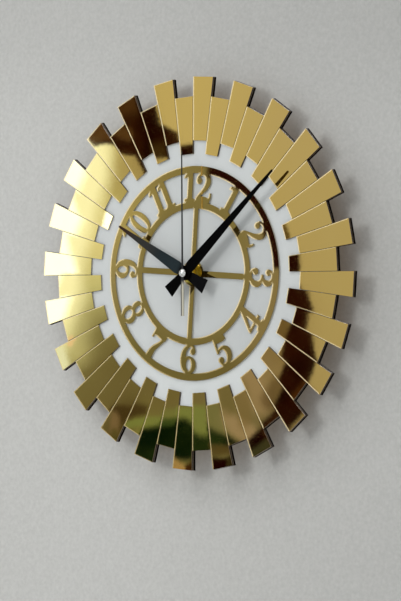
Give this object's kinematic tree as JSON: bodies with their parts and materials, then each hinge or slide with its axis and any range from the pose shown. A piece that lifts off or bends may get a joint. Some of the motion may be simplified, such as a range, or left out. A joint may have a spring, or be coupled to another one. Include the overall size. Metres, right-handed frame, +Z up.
{
  "type": "sunburst wall clock",
  "caption": "Round sunburst wall clock with radial gold mirror slats, a mirrored chapter ring, three hands and a battery quartz movement behind the panel.",
  "frame": {"origin": "on the axis of the hands, in the wall plane that the back of the movement rests on", "axes": "+Z up, +X to the right seen from the front, front faces -Y and +Y points into the wall"},
  "size_m": [0.3492, 0.039, 0.3492],
  "materials": {
    "board": "black laser-cut edge, satin",
    "white_face": "satin white laminate",
    "gold_mirror": "gold mirrored acrylic",
    "black_case": "fine moulded texture",
    "nylon": "natural nylon",
    "brass": "turned brass",
    "steel": "plain steel",
    "rubber": "matt",
    "cell": "printed sleeve without text",
    "contact": "nickel plated",
    "pcb": "green solder mask",
    "epoxy": "black epoxy",
    "copper": "enamelled copper wire",
    "black_hand": "gloss black lacquer",
    "cap": "polished silver"
  },
  "bodies": {
    "clock_body": {"backing_panel": "board", "dial_face": "white_face", "long_slats": "gold_mirror", "short_slats": "gold_mirror", "chapter_ring": "gold_mirror", "movement_front_case": "black_case", "movement_rear_cover": "black_case", "mid_plate": "nylon", "threaded_bush": "brass", "hanger": "steel", "rubber_washer": "rubber", "brass_washer": "brass", "hex_nut": "brass", "battery": "cell", "battery_contact_positive": "contact", "battery_contact_negative": "contact", "circuit_board": "pcb", "quartz_crystal": "contact", "driver_chip": "epoxy", "coil_bobbin": "nylon", "coil_winding": "copper", "stator": "steel"},
    "seconds": {"seconds_wheel": "nylon", "second_hand": "black_hand", "second_hand_cap": "cap"},
    "intermediate": {"intermediate_wheel": "nylon"},
    "rotor": {"rotor_magnet": "steel", "rotor_pinion": "nylon"},
    "third": {"third_wheel": "nylon"},
    "centre": {"centre_wheel": "nylon"},
    "minutes": {"minute_arbor": "brass", "clutch_spring": "steel", "minute_hand": "black_hand"},
    "motion_wheel": {"minute_wheel": "nylon"},
    "hours": {"hour_wheel": "nylon", "hour_hand": "black_hand"},
    "setting": {"setting_knob": "black_case"}
  },
  "joints": [
    {"name": "second_hand_turn", "type": "hinge", "parent": "clock_body", "child": "seconds", "pos_m": [0, -0.0364, 0], "axis": [0, 1, 0], "continuous": true},
    {"name": "intermediate_wheel_turn", "type": "hinge", "parent": "clock_body", "child": "intermediate", "pos_m": [0, -0.004, 0.009], "axis": [0, 1, 0], "continuous": true},
    {"name": "rotor_turn", "type": "hinge", "parent": "clock_body", "child": "rotor", "pos_m": [0.00822, -0.006, 0.01199], "axis": [0, 1, 0], "continuous": true},
    {"name": "third_wheel_turn", "type": "hinge", "parent": "clock_body", "child": "third", "pos_m": [-0.009, -0.006, 0], "axis": [0, 1, 0], "continuous": true},
    {"name": "centre_wheel_turn", "type": "hinge", "parent": "clock_body", "child": "centre", "pos_m": [0, -0.007, 0], "axis": [0, 1, 0], "continuous": true},
    {"name": "minute_hand_turn", "type": "hinge", "parent": "clock_body", "child": "minutes", "pos_m": [0, -0.0333, 0], "axis": [0, 1, 0], "continuous": true},
    {"name": "minute_wheel_turn", "type": "hinge", "parent": "clock_body", "child": "motion_wheel", "pos_m": [0.007, -0.011, 0], "axis": [0, 1, 0], "continuous": true},
    {"name": "hour_hand_turn", "type": "hinge", "parent": "clock_body", "child": "hours", "pos_m": [0, -0.0316, 0], "axis": [0, 1, 0], "continuous": true},
    {"name": "setting_knob_turn", "type": "hinge", "parent": "clock_body", "child": "setting", "pos_m": [0.014, -0.002, 0], "axis": [0, 1, 0], "continuous": true}
  ],
  "couplings": [
    {"joint": "intermediate_wheel_turn", "follows": "second_hand_turn", "ratio": -5},
    {"joint": "rotor_turn", "follows": "second_hand_turn", "ratio": 30},
    {"joint": "third_wheel_turn", "follows": "second_hand_turn", "ratio": -0.13333},
    {"joint": "centre_wheel_turn", "follows": "second_hand_turn", "ratio": 0.016667},
    {"joint": "minute_wheel_turn", "follows": "minute_hand_turn", "ratio": -0.33333},
    {"joint": "hour_hand_turn", "follows": "minute_hand_turn", "ratio": 0.083333},
    {"joint": "setting_knob_turn", "follows": "minute_hand_turn", "ratio": 1}
  ]
}
